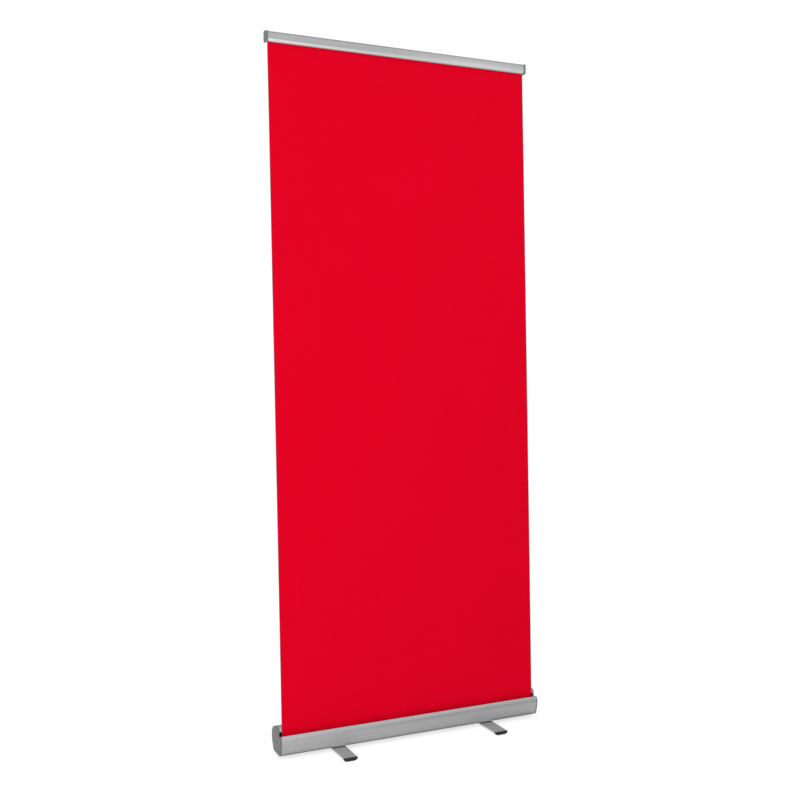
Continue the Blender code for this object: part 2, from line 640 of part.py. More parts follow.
SIDES = {"left": -FOOT_X, "right": FOOT_X}
roller_axis = add_empty("roller_axis", (0, ROLLER_Y, ROLLER_Z), AXIS_X)
rail_axis = add_empty("rail_axis", (0, RAIL_Y, RAIL_Z), (-GRAPHIC_LEAN, 0, 0))
jaw_axis = add_empty("jaw_axis", (0, JAW_BEAD_ACROSS, JAW_BEAD_UP), parent=rail_axis)
pole_axis = add_empty("pole_axis", (0, POLE_Y, FLOOR_TOP), (-POLE_LEAN, 0, 0))

base_housing()
roller()
spring()
graphic()
rail_back()
rail_jaw()
pole_socket()
pole()
for side_name, side_sign in (("left", -1), ("right", 1)):
    end_cap(side_name, side_sign)
    rail_cap(side_name, side_sign)
    foot(side_name, SIDES[side_name])
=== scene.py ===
import json
import math

import bmesh
import bpy
from mathutils import Matrix, Vector


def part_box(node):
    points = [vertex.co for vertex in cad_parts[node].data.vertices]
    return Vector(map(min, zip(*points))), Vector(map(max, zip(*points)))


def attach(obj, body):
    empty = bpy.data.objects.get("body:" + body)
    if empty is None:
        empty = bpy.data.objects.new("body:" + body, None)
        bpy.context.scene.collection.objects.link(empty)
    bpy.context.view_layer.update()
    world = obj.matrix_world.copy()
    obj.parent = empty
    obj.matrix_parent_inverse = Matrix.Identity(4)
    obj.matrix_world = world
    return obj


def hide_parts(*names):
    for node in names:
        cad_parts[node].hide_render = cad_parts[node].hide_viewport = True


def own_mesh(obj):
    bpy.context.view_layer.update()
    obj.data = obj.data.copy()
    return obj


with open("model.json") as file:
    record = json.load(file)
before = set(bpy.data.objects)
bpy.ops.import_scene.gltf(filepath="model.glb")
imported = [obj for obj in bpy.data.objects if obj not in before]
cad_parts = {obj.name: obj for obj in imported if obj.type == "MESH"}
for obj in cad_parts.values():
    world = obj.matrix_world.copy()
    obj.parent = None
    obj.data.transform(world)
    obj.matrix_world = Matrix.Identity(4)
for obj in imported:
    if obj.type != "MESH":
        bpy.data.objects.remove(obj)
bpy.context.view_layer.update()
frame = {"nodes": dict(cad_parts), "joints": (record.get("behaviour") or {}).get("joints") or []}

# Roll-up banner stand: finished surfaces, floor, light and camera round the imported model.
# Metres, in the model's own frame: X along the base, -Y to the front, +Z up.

# Places worked out from the frame

JOINTS = {joint["name"]: joint for joint in frame["joints"]}
WALL = 0.0018                   # base extrusion
GAP = 0.0003                    # clearance between pieces
EASE = 0.0003                   # chamfer on turned edges
JAW_BEAD = Vector((0, -0.0084, 0.0252))   # jaw's hinge bead, from the rail's middle and underside
AXLE_BORE = 0.0033
PORT_RADIUS = 0.0026            # screw ports along the inside of the extrusion
PORT_BORE = 0.0014
SOCKET_HOLE = 0.0101            # in the extrusion's top, for the pole's socket
SCREW_PORTS = {"top": (-0.006, 0.0843), "front": (-0.0342, 0.0265), "rear": (0.0396, 0.056)}
SIDES = {"left": -1, "right": 1}


def leaned(axis, point):
    """A frame at a point, with its Z along an axis that leans back."""
    lean = math.atan2(axis[1], axis[2])
    return Matrix.Translation(point) @ Matrix.Rotation(-lean, 4, "X")


def span(node, place=Matrix()):
    """Lowest and highest corner of a CAD node, along the axes of a frame."""
    into = place.inverted()
    points = [into @ vertex.co for vertex in frame["nodes"][node].data.vertices]
    return Vector(map(min, zip(*points))), Vector(map(max, zip(*points)))


def middle(node):
    low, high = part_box(node)
    return (low + high) / 2


SLIDE_AXIS = Vector(JOINTS["rail_slide"]["axis"])
RAIL = leaned(SLIDE_AXIS, JOINTS["jaw_hinge"]["pos_m"]) @ Matrix.Translation(-JAW_BEAD)
POLE = leaned(JOINTS["pole_lift"]["axis"], middle("pole_foot_plug"))
ROLLER = Matrix.Translation(JOINTS["roller_spin"]["pos_m"])
BASE_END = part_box("base_housing")[1].x
CAP_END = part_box("end_cap_right")[1].x
FOOT_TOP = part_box("foot_bar_left")[1].z
FOOT_HALF = (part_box("foot_bar_left")[1].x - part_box("foot_bar_left")[0].x) / 2


# Outlines, as lists of (across, up) pairs

def smooth_path(points, steps=8):
    """A Catmull-Rom curve through the points."""
    vectors = [Vector(p) for p in points]
    ends = [2 * vectors[0] - vectors[1]] + vectors + [2 * vectors[-1] - vectors[-2]]
    path = []
    for a, b, c, d in zip(ends, ends[1:], ends[2:], ends[3:]):
        for step in range(steps):
            t = step / steps
            square = (2 * a - 5 * b + 4 * c - d) * t ** 2
            cube = (3 * b - a - 3 * c + d) * t ** 3
            path.append((2 * b + (c - a) * t + square + cube) / 2)
    return path + [vectors[-1]]


def fillet(corners, steps=6):
    """A closed outline with each (across, up, radius) corner rounded by an arc."""
    outline = []
    for before, corner, after in zip(corners[-1:] + corners, corners, corners[1:] + corners[:1]):
        point = Vector(corner[:2])
        if corner[2] == 0:
            outline.append(point)
            continue
        back = (Vector(before[:2]) - point).normalized()
        ahead = (Vector(after[:2]) - point).normalized()
        half = back.angle(ahead) / 2
        centre = point + (back + ahead).normalized() * corner[2] / math.sin(half)
        start = point + back * corner[2] / math.tan(half) - centre
        sweep_angle = (math.pi - 2 * half) * (1 if back.cross(ahead) < 0 else -1)
        for step in range(steps + 1):
            outline.append(centre + Matrix.Rotation(sweep_angle * step / steps, 2) @ start)
    return outline


def arc(centre, radius, start, end, steps):
    angles = [math.radians(start + (end - start) * i / steps) for i in range(steps + 1)]
    return [Vector((centre[0] + radius * math.cos(a), centre[1] + radius * math.sin(a))) for a in angles]


def inset_path(path, distance):
    """An open path moved sideways, to the left of its direction."""
    moved = []
    for i, point in enumerate(path):
        along = (path[min(i + 1, len(path) - 1)] - path[max(i - 1, 0)]).normalized()
        moved.append(point + Vector((-along.y, along.x)) * distance)
    return moved


# Solid shapes, as bmesh cages

def sweep(outline, low, high, place=Matrix()):
    """A closed (y, z) outline swept along X."""
    cage = bmesh.new()
    rings = [[cage.verts.new(place @ Vector((x, p[0], p[1]))) for p in outline] for x in (low, high)]
    for a, b, c, d in zip(rings[0], rings[0][1:] + rings[0][:1], rings[1][1:] + rings[1][:1], rings[1]):
        cage.faces.new((a, b, c, d))
    cage.faces.new(rings[0])
    cage.faces.new(rings[1])
    bmesh.ops.recalc_face_normals(cage, faces=cage.faces)
    return cage


def lathe(profile, place=Matrix(), steps=48):
    """A (radius, height) profile turned about Z. It closes on itself when it keeps off the axis."""
    cage = bmesh.new()
    rings = []
    for radius, height in profile:
        if radius == 0:
            rings.append([cage.verts.new(place @ Vector((0, 0, height)))] * steps)
            continue
        turns = [2 * math.pi * i / steps for i in range(steps)]
        rings.append([cage.verts.new(place @ Vector((radius * math.cos(a), radius * math.sin(a), height)))
                      for a in turns])
    pairs = list(zip(rings, rings[1:]))
    if all(radius > 0 for radius, _ in profile):
        pairs.append((rings[-1], rings[0]))
    for upper, lower in pairs:
        for i in range(steps):
            j = (i + 1) % steps
            corners = list(dict.fromkeys((upper[i], upper[j], lower[j], lower[i])))
            if len(corners) > 2:
                cage.faces.new(corners)
    bmesh.ops.recalc_face_normals(cage, faces=cage.faces)
    return cage


def rod(radius, low, high, place=Matrix(), steps=48):
    """A solid cylinder from one height to another."""
    return lathe([(0, high), (radius, high), (radius, low), (0, low)], place, steps)


def block(low, high, place=Matrix()):
    cage = bmesh.new()
    bmesh.ops.create_cube(cage, size=1)
    low, high = Vector(low), Vector(high)
    size = Matrix.Diagonal((*(high - low), 1))
    bmesh.ops.transform(cage, matrix=place @ Matrix.Translation((low + high) / 2) @ size, verts=cage.verts)
    return cage


def wire(points, radius, sides=8):
    """A round wire along a line of points."""
    curve = bpy.data.curves.new("wire", "CURVE")
    curve.dimensions = "3D"
    curve.bevel_depth = radius
    curve.bevel_resolution = sides // 2 - 1
    curve.use_fill_caps = True
    line = curve.splines.new("POLY")
    line.points.add(len(points) - 1)
    for point, place in zip(line.points, points):
        point.co = (*place, 1)
    item = bpy.data.objects.new("wire", curve)
    cage = bmesh.new()
    cage.from_mesh(item.to_mesh())
    bmesh.ops.remove_doubles(cage, verts=cage.verts, dist=1e-6)
    item.to_mesh_clear()
    bpy.data.objects.remove(item)
    bpy.data.curves.remove(curve)
    return cage


def along_x(point=(0, 0, 0), sign=1):
    """A frame whose Z runs along X."""
    return Matrix.Translation(point) @ Matrix.Rotation(sign * math.pi / 2, 4, "Y")


REARWARD = Matrix.Rotation(-math.pi / 2, 4, "X")    # a frame whose Z runs along +Y


def as_object(cage, name):
    mesh = bpy.data.meshes.new(name)
    cage.to_mesh(mesh)
    cage.free()
    item = bpy.data.objects.new(name, mesh)
    bpy.context.scene.collection.objects.link(item)
    return item


def bake(item):
    """Replace an object's mesh by the one its modifiers make."""
    bpy.context.view_layer.update()
    evaluated = item.evaluated_get(bpy.context.evaluated_depsgraph_get())
    baked = bpy.data.meshes.new_from_object(evaluated)
    item.modifiers.clear()
    item.data = baked


def combine(item, operation, *cages):
    """Join cages to an object, or cut it with them."""
    for cage in cages:
        tool = as_object(cage, "tool")
        change = item.modifiers.new("change", "BOOLEAN")
        change.operation = operation
        change.object = tool
        bake(item)
        bpy.data.objects.remove(tool)


def rounded(item, width, segments=3, angle=32):
    """Round the edges that turn by more than an angle, in degrees."""
    bevel = item.modifiers.new("rounded", "BEVEL")
    bevel.width = width
    bevel.segments = segments
    bevel.limit_method = "ANGLE"
    bevel.angle_limit = math.radians(angle)
    bevel.use_clamp_overlap = True
    bevel.miter_outer = "MITER_ARC"
    bake(item)


def finish_piece(item, body, slot, *materials, stands_for=None, angle=38):
    """Smooth shading, materials, body, and the CAD node that the piece stands for. The slot argument is not
    used.
    """
    mesh = item.data
    choices = [face.material_index for face in mesh.polygons]
    mesh.materials.clear()
    for made in materials:
        mesh.materials.append(made)
    mesh.polygons.foreach_set("material_index", choices)
    mesh.shade_smooth()
    mesh.set_sharp_from_angle(angle=math.radians(angle))
    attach(item, body)
    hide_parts(stands_for or item.name.removesuffix("_finished"))


# Materials

def start(name):
    made = bpy.data.materials.new(name)
    made.use_nodes = True
    return made, made.node_tree, made.node_tree.nodes["Principled BSDF"]


def add(tree, kind, settings=None, **inputs):
    """A shader node; each input is a value or another node's output."""
    node = tree.nodes.new("ShaderNode" + kind)
    for key, value in (settings or {}).items():
        setattr(node, key, value)
    for key, value in inputs.items():
        connect(tree, value, node.inputs[key.replace("_", " ")])
    return node


def connect(tree, value, socket):
    if isinstance(value, bpy.types.NodeSocket):
        tree.links.new(value, socket)
    else:
        socket.default_value = value


def maths(tree, operation, a, b=0.0):
    node = tree.nodes.new("ShaderNodeMath")
    node.operation = operation
    connect(tree, a, node.inputs[0])
    connect(tree, b, node.inputs[1])
    return node.outputs[0]


def spread(tree, value, low, high, start_at, end_at):
    """Map a value's range onto low to high, without going past them."""
    node = add(tree, "MapRange", From_Min=start_at, From_Max=end_at, To_Min=low, To_Max=high, Value=value)
    return node.outputs[0]


def band(tree, value, rise, fall):
    """1 between two ramps and 0 outside them. Each ramp is a pair of values."""
    return maths(tree, "MULTIPLY", spread(tree, value, 0.0, 1.0, *rise), spread(tree, value, 1.0, 0.0, *fall))


def speckle(tree, scale, detail=2.0, roughness=0.5, shift=0.0):
    """Noise in object space. The scale is features a metre, along each axis."""
    place = add(tree, "TexCoord").outputs["Object"]
    scales = scale if isinstance(scale, tuple) else (scale,) * 3
    mapped = add(tree, "Mapping", Vector=place, Scale=scales, Location=(shift,) * 3).outputs[0]
    return add(tree, "TexNoise", Vector=mapped, Scale=1.0, Detail=detail, Roughness=roughness).outputs[0]


def blend_colour(tree, share, first, second):
    node = tree.nodes.new("ShaderNodeMix")
    node.data_type = "RGBA"
    connect(tree, share, node.inputs["Factor"])
    connect(tree, (*first, 1) if isinstance(first, tuple) else first, node.inputs[6])
    connect(tree, (*second, 1) if isinstance(second, tuple) else second, node.inputs[7])
    return node.outputs[2]


def edge_wear(tree, radius, patches=220):
    """1 along rubbed outer edges and 0 elsewhere, broken up by noise."""
    true_normal = add(tree, "NewGeometry").outputs["Normal"]
    soft_normal = add(tree, "Bevel", {"samples": 4}, Radius=radius).outputs[0]
    likeness = add(tree, "VectorMath", {"operation": "DOT_PRODUCT"})
    tree.links.new(true_normal, likeness.inputs[0])
    tree.links.new(soft_normal, likeness.inputs[1])
    turned_away = maths(tree, "SUBTRACT", 1.0, likeness.outputs["Value"])
    edge = spread(tree, turned_away, 0.0, 1.0, 0.01, 0.16)
    return maths(tree, "MULTIPLY", edge, spread(tree, speckle(tree, patches, 3), 0.25, 1.0, 0.35, 0.6))


def bump(tree, height, depth, strength=1.0, under=None):
    node = add(tree, "Bump", Strength=strength, Distance=depth, Height=height)
    if under is not None:
        tree.links.new(under, node.inputs["Normal"])
    return node.outputs[0]


def contact_shade(tree):
    """1 on a top face that lies close under something, and 0 elsewhere."""
    open_sky = add(tree, "AmbientOcclusion", Distance=0.012).outputs["AO"]
    facing = add(tree, "SeparateXYZ", Vector=add(tree, "NewGeometry").outputs["Normal"]).outputs["Z"]
    return maths(tree, "MULTIPLY", spread(tree, open_sky, 1.0, 0.0, 0.35, 0.80),
                 spread(tree, facing, 0.0, 1.0, 0.3, 0.7))


def anodised(name, axis, tone=0.45, metallic=0.7, roughness=0.38, mirrored=None):
    """Satin anodised aluminium, with die lines along one axis (0 to 2) and an etched grain.

    A mirrored tone is what neighbouring metal reflects. With one, the top is also shaded close to
    whatever lies over it.
    """
    made, tree, shader = start(name)

    def lines(across, along, detail=2.0, shift=0.0):
        return speckle(tree, tuple(along if i == axis else across for i in range(3)), detail, shift=shift)

    fine, wide = lines(1900, 5), lines(210, 1.2, 3, 7.0)
    grain = speckle(tree, 5200, 1)
    cloud = speckle(tree, 9, 3)
    scuff = spread(tree, lines(2400, 70, 1, 3.0), 0.0, 1.0, 0.70, 0.78)
    wear = edge_wear(tree, 0.0006)
    light, dark = (tone * 1.03, tone * 1.035, tone * 1.05), (tone * 0.95, tone * 0.955, tone * 0.96)
    base = blend_colour(tree, spread(tree, wide, 0, 1, 0.35, 0.65), dark, light)
    base = blend_colour(tree, spread(tree, cloud, 0.0, 0.35, 0.4, 0.7), base, dark)
    base = blend_colour(tree, maths(tree, "MULTIPLY", wear, 0.55), base, (0.74, 0.75, 0.76))
    shader.inputs["Metallic"].default_value = metallic
    if mirrored is not None:
        base = blend_colour(tree, contact_shade(tree), base, (0.03, 0.03, 0.03))
        seen = add(tree, "LightPath").outputs["Is Camera Ray"]
        base = blend_colour(tree, seen, (mirrored,) * 3, base)
        connect(tree, maths(tree, "MULTIPLY", seen, metallic), shader.inputs["Metallic"])
    connect(tree, base, shader.inputs["Base Color"])
    rough = maths(tree, "ADD", spread(tree, fine, roughness - 0.05, roughness + 0.05, 0.3, 0.7),
                  maths(tree, "MULTIPLY", cloud, 0.06))
    rough = maths(tree, "SUBTRACT", rough, maths(tree, "MULTIPLY", wear, 0.10))
    connect(tree, maths(tree, "ADD", rough, maths(tree, "MULTIPLY", scuff, 0.12)), shader.inputs["Roughness"])
    etched = bump(tree, grain, 0.00003, 0.5)
    lined = bump(tree, fine, 0.00005, 0.6, etched)
    connect(tree, bump(tree, wide, 0.00012, 0.5, lined), shader.inputs["Normal"])
    return made


def moulded(name, colour, worn, roughness, grain=2600, depth=0.00005, specular=0.45):
    """Moulded plastic or rubber: fine spark-eroded grain, faint flow marks, rubbed edges."""
    made, tree, shader = start(name)
    cloud = speckle(tree, 38, 4, 0.6)
    pores = speckle(tree, grain, 2)
    dust = spread(tree, speckle(tree, 420, 5, 0.7, 4.0), 0.0, 0.5, 0.56, 0.72)
    wear = edge_wear(tree, 0.0007)
    deep = tuple(c * 0.86 for c in colour)
    base = blend_colour(tree, spread(tree, cloud, 0, 1, 0.35, 0.65), deep, colour)
    base = blend_colour(tree, maths(tree, "MULTIPLY", dust, 0.30), base, worn)
    base = blend_colour(tree, maths(tree, "MULTIPLY", wear, 0.45), base, worn)
    connect(tree, base, shader.inputs["Base Color"])
    shader.inputs["Specular IOR Level"].default_value = specular
    rough = maths(tree, "ADD", spread(tree, cloud, roughness - 0.05, roughness + 0.05, 0.3, 0.7),
                  spread(tree, pores, -0.03, 0.03, 0.3, 0.7))
    connect(tree, rough, shader.inputs["Roughness"])
    connect(tree, bump(tree, cloud, 0.0003, 0.15, bump(tree, pores, depth, 0.8)), shader.inputs["Normal"])
    return made


def plated(name, colour, roughness, axis=None):
    """Plated or drawn steel: brushed along an axis where one is given, with darker stained patches."""
    made, tree, shader = start(name)
    scales = 2600 if axis is None else tuple(60 if i == axis else 2600 for i in range(3))
    brushed = speckle(tree, scales, 2)
    stain = speckle(tree, 130, 4, 0.65)
    wear = edge_wear(tree, 0.0004)
    deep = tuple(c * 0.72 for c in colour)
    base = blend_colour(tree, spread(tree, stain, 0, 1, 0.4, 0.62), deep, colour)
    bright = tuple(min(1, c * 1.4) for c in colour)
    base = blend_colour(tree, maths(tree, "MULTIPLY", wear, 0.6), base, bright)
    connect(tree, base, shader.inputs["Base Color"])
    shader.inputs["Metallic"].default_value = 1.0
    connect(tree, maths(tree, "ADD", spread(tree, brushed, -0.06, 0.06, 0.3, 0.7),
                        spread(tree, stain, roughness + 0.08, roughness - 0.04, 0.35, 0.65)),
            shader.inputs["Roughness"])
    connect(tree, bump(tree, brushed, 0.00003, 0.7), shader.inputs["Normal"])
    return made


def weave_height(tree, pitch):
    """Crossing threads of a plain weave in the graphic's plane, as a height from 0 to 1."""
    place = add(tree, "TexCoord").outputs["Object"]
    split = add(tree, "SeparateXYZ", Vector=place)
    turns = 2 * math.pi / pitch
    warp = maths(tree, "SINE", maths(tree, "MULTIPLY", split.outputs["X"], turns))
    weft = maths(tree, "SINE", maths(tree, "MULTIPLY", split.outputs["Z"], turns))
    return spread(tree, maths(tree, "MULTIPLY", warp, weft), 0.0, 1.0, -1.0, 1.0)


FILM_EDGE_PAINTED_SHADE = (0.10, 0.04, 0.06)   # painted shade: a dark line down both sides of the film
BOUNCE = (0.52, 0.55, 0.55)     # light that the graphic throws on its neighbours is paler than its print


def film(name, colour, other, roughness, specular, weave=0.00055):
    """The graphic's film: a woven grain under a matt coat, with faint streaks along the print's feed."""
    made, tree, shader = start(name)
    threads = weave_height(tree, weave)
    cloud = speckle(tree, 5, 3)
    streaks = speckle(tree, (170, 170, 1.5), 3, shift=5.0)
    fibre = speckle(tree, 1700, 3)
    tint = maths(tree, "ADD", maths(tree, "MULTIPLY", cloud, 0.5), maths(tree, "MULTIPLY", streaks, 0.5))
    base = blend_colour(tree, spread(tree, tint, 0, 1, 0.38, 0.62), other, colour)
    base = blend_colour(tree, spread(tree, fibre, 0.0, 0.25, 0.45, 0.75), base, other)
    across = add(tree, "SeparateXYZ", Vector=add(tree, "TexCoord").outputs["Object"]).outputs["X"]
    film_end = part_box("banner_graphic")[1].x
    # Painted shade: the print turns to the dark line near both sides
    cut = spread(tree, maths(tree, "ABSOLUTE", across), 0.0, 0.9, film_end - 0.0018, film_end - 0.0010)
    base = blend_colour(tree, cut, base, FILM_EDGE_PAINTED_SHADE)
    seen = add(tree, "LightPath").outputs["Is Camera Ray"]
    pale = tuple(0.12 * channel + 0.88 * bounce for channel, bounce in zip(colour, BOUNCE))
    connect(tree, blend_colour(tree, seen, pale, base), shader.inputs["Base Color"])
    shader.inputs["Specular IOR Level"].default_value = specular
    rough = spread(tree, fibre, roughness - 0.06, roughness + 0.06, 0.3, 0.7)
    connect(tree, rough, shader.inputs["Roughness"])
    coat = bump(tree, fibre, 0.00004, 0.6, bump(tree, threads, 0.00004, 0.5))
    connect(tree, coat, shader.inputs["Normal"])
    return made


def braided(name):
    """Elastic cord: a dark braid with pale flecks, wound both ways round the cord."""
    made, tree, shader = start(name)
    place = add(tree, "TexCoord").outputs["Object"]
    split = add(tree, "SeparateXYZ", Vector=place)
    round_it = maths(tree, "ARCTAN2", split.outputs["Y"], split.outputs["X"])
    climb = maths(tree, "MULTIPLY", split.outputs["Z"], 2 * math.pi / 0.006)
    one = maths(tree, "SINE", maths(tree, "ADD", maths(tree, "MULTIPLY", round_it, 4.0), climb))
    two = maths(tree, "SINE", maths(tree, "SUBTRACT", maths(tree, "MULTIPLY", round_it, 4.0), climb))
    braid = spread(tree, maths(tree, "MULTIPLY", one, two), 0.0, 1.0, -1.0, 1.0)
    fibre = speckle(tree, (3000, 3000, 700), 3)
    base = blend_colour(tree, braid, (0.012, 0.012, 0.014), (0.06, 0.06, 0.065))
    base = blend_colour(tree, spread(tree, fibre, 0.0, 0.5, 0.6, 0.8), base, (0.3, 0.3, 0.3))
    connect(tree, base, shader.inputs["Base Color"])
    shader.inputs["Roughness"].default_value = 0.85
    connect(tree, bump(tree, braid, 0.0004, 0.8, bump(tree, fibre, 0.0001, 0.5)), shader.inputs["Normal"])
    return made


ALUMINIUM_X = anodised("anodised_along_x", 0)
ALUMINIUM_Y = anodised("anodised_along_y", 1, tone=0.58, metallic=0.45, roughness=0.5, mirrored=0.80)
# Painted shade: nearly black metal for the faces down in the feet's grooves, seen dark by the camera only
GROOVE_PAINTED_SHADE = anodised("groove_painted_shade", 1, tone=0.07, metallic=0.45, roughness=0.6, mirrored=0.80)
ALUMINIUM_Z = anodised("anodised_along_z", 2)
# Painted highlight: a lighter, glossier copy of the rail's metal, for the jaw's lower edge
JAW_LIP_PAINTED_HIGHLIGHT = anodised("jaw_lip_painted_highlight", 0, tone=0.64, metallic=0.75, roughness=0.36)
CAP_PLASTIC = moulded("cap_plastic", (0.155, 0.158, 0.158), (0.30, 0.30, 0.295), 0.48)
PALE_PLASTIC = moulded("rail_cap_plastic", (0.185, 0.188, 0.188), (0.32, 0.32, 0.315), 0.5)
RUBBER = moulded("rubber", (0.022, 0.022, 0.023), (0.10, 0.10, 0.10), 0.78,
                 grain=1500, depth=0.0001, specular=0.3)
NYLON_BLACK = moulded("nylon_black", (0.022, 0.022, 0.022), (0.09, 0.09, 0.09), 0.46)
NYLON_WHITE = moulded("nylon_white", (0.70, 0.70, 0.67), (0.80, 0.80, 0.78), 0.5)
ZINC = plated("zinc_plate", (0.58, 0.58, 0.56), 0.34)
DRAWN_STEEL = plated("drawn_steel", (0.50, 0.50, 0.50), 0.30, axis=2)
SPRING_STEEL = plated("spring_steel", (0.20, 0.20, 0.21), 0.40)
CORD = braided("cord")
PRINT = film("print", (0.652, 0.0, 0.0145), (0.636, 0.0, 0.0135), roughness=0.66, specular=0.02)
BACKING = film("backing", (0.72, 0.72, 0.725), (0.70, 0.70, 0.705), roughness=0.7, specular=0.25)


# Base

def base_path():
    """The extrusion's outer line, from the slot's rear lip round the back and floor to the front lip."""
    floor_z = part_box("base_housing")[0].z
    rear = [(-0.0196, 0.0770), (-0.0196, 0.0825), (-0.0140, 0.0872), (0.0040, 0.0884), (0.0240, 0.0838),
            (0.0375, 0.0735), (0.0432, 0.0575), (0.0412, 0.0400), (0.0355, 0.0240), (0.0285, 0.0124),
            (0.0200, floor_z)]
    front = [(-0.0275, floor_z), (-0.0322, 0.0113), (-0.0350, 0.0160), (-0.0382, 0.0270),
             (-0.0409, 0.0385), (-0.0426, 0.0500), (-0.0408, 0.0612), (-0.0358, 0.0692)]
    return smooth_path(rear) + smooth_path(front)


def base_housing():
    outer = base_path()
    shell = outer + inset_path(outer, -WALL)[::-1]
    item = as_object(sweep(shell, -BASE_END, BASE_END), "base_housing_finished")
    port = [(PORT_RADIUS, -BASE_END), (PORT_RADIUS, BASE_END), (PORT_BORE, BASE_END), (PORT_BORE, -BASE_END)]
    combine(item, "UNION", *(lathe(port, along_x((0, y, z)), 24) for y, z in SCREW_PORTS.values()))
    mouth = span("pole_socket", POLE)[1].z
    combine(item, "DIFFERENCE", rod(SOCKET_HOLE, mouth - 0.03, mouth + 0.03, POLE, 64))
    rounded(item, width=0.00035, segments=2, angle=50)
    finish_piece(item, "base", "anodised_silver", ALUMINIUM_X)


def end_cap(side, sign):
    """Moulded cap: the extrusion's outline with the slot's notch, axle boss, and sunk screws."""
    notch_front, notch_rear, notch_floor = -0.0345, -0.0204, 0.0665
    outline = base_path() + [Vector((notch_front, notch_floor)), Vector((notch_rear, notch_floor))]
    inner, outer = BASE_END + GAP, CAP_END
    plate = as_object(sweep(outline, *sorted((sign * inner, sign * outer))), "end_cap_%s_finished" % side)
    rounded(plate, width=0.0009, segments=4, angle=40)
    axle = JOINTS["roller_spin"]["pos_m"]
    facing = along_x((0, axle[1], axle[2]), sign)
    inside = BASE_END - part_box("end_cap_right")[0].x
    boss_radius, seat_radius, seat_depth, beyond = 0.009, 0.0027, 0.0019, 0.02
    combine(plate, "UNION", rod(boss_radius, inner - inside, inner + 0.001, facing, 64))
    combine(plate, "DIFFERENCE", lathe(countersunk(AXLE_BORE, outer, inner - beyond), facing))
    seat = outer - seat_depth
    for y, z in SCREW_PORTS.values():
        spot = along_x((0, y, z), sign)
        combine(plate, "DIFFERENCE", lathe(countersunk(seat_radius, outer, seat), spot, 32),
                rod(PORT_BORE, seat - beyond, seat + 0.001, spot, 24))
    finish_piece(plate, "base", "cap_grey", CAP_PLASTIC)


def countersunk(radius, face, depth):
    """Profile of a cutter for a hole with a slightly rounded mouth."""
    return [(0, face + 0.001), (radius + 0.0012, face + 0.001), (radius + 0.0003, face),
            (radius, face - 0.0003), (radius, depth), (0, depth)]


def cross_screw(radius, length):
    """Pan-head screw with a cross recess, its head's underside at zero."""
    head = 2 * radius
    profile = [(0, radius * 1.25), (head * 0.45, radius * 1.18), (head * 0.75, radius * 0.92),
               (head * 0.93, radius * 0.55), (head, radius * 0.2), (head * 0.97, 0), (radius, 0),
               (radius, -length + radius), (0, -length)]
    item = as_object(lathe(profile, steps=32), "screw")
    for turn in (0, math.pi / 2):
        arm = block((-head * 0.55, -radius * 0.19, radius * 0.5), (head * 0.55, radius * 0.19, radius * 2),
                    Matrix.Rotation(turn, 4, "Z"))
        combine(item, "DIFFERENCE", arm)
    mesh = item.data
    bpy.data.objects.remove(item)
    return mesh


def screws():
    cap_head, rear_head = 0.0014, 0.0012    # heights of the screws' heads
    sunk = cross_screw(radius=0.0011, length=0.014)
    for side, sign in SIDES.items():
        for turn, (label, (y, z)) in enumerate(SCREW_PORTS.items()):
            node = "end_cap_screw_%s_%s" % (label, side)
            low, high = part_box(node)
            head = high.x if sign > 0 else low.x
            item = bpy.data.objects.new(node + "_finished", sunk.copy())
            bpy.context.scene.collection.objects.link(item)
            item.data.transform(along_x((head - sign * cap_head, y, z), sign)
                                @ Matrix.Rotation(0.5 + turn, 4, "Z"))
            finish_piece(item, "base", "zinc_steel", ZINC)
    rear = bpy.data.objects.new("pole_socket_screw_finished", cross_screw(radius=0.0010, length=0.0072))
    bpy.context.scene.collection.objects.link(rear)
    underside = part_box("pole_socket_screw")[1].y - rear_head
    rear.data.transform(Matrix.Translation((0, underside, middle("pole_socket_screw").z)) @ REARWARD)
    finish_piece(rear, "base", "zinc_steel", ZINC)


# Roller and graphic

def banner_roll():
    """The graphic's last turns on the roller, as one wound sheet."""
    low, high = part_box("banner_roll")
    tube_radius = (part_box("roller_tube")[1].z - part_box("roller_tube")[0].z) / 2
    outer_radius = (high.z - low.z) / 2
    turns, thickness, steps = 3, 0.0004, 72
    pitch = (outer_radius - thickness - tube_radius - GAP) / turns
    sheet = []
    for offset, order in ((thickness, 1), (0.0, -1)):
        side = []
        for i in range(turns * steps + 1):
            angle = math.pi + 2 * math.pi * i / steps
            radius = tube_radius + GAP + pitch * i / steps + offset
            side.append(Vector((radius * math.cos(angle), radius * math.sin(angle))))
        sheet += side[::order]
    item = as_object(sweep(sheet, low.x, high.x, ROLLER), "banner_roll_finished")
    finish_piece(item, "roller", "graphic_red", PRINT)


def sheet_solid(low, high, columns, rows, bend):
    """A thin sheet in the rail's frame, bent by a function of (x, height); its rear and edges are slot 1."""
    cage = bmesh.new()

    def corner(i, j, face_y):
        x = low.x + (high.x - low.x) * i / columns
        up = low.z + (high.z - low.z) * j / rows
        return cage.verts.new(RAIL @ Vector((x, face_y + bend(x, up), up)))

    faces = [[[corner(i, j, face_y) for i in range(columns + 1)] for j in range(rows + 1)]
             for face_y in (low.y, high.y)]
    for side, face in enumerate(faces):
        for a, b in zip(face, face[1:]):
            for i in range(columns):
                cage.faces.new((a[i], a[i + 1], b[i + 1], b[i])).material_index = side

    def border(face):
        right = [row[-1] for row in face[1:]]
        left = [row[0] for row in face[-2:0:-1]]
        return face[0] + right + face[-1][-2::-1] + left

    front, rear = border(faces[0]), border(faces[1])
    for a, b, c, d in zip(front, front[1:] + front[:1], rear[1:] + rear[:1], rear):
        cage.faces.new((a, b, c, d)).material_index = 1
    bmesh.ops.recalc_face_normals(cage, faces=cage.faces)
    return cage


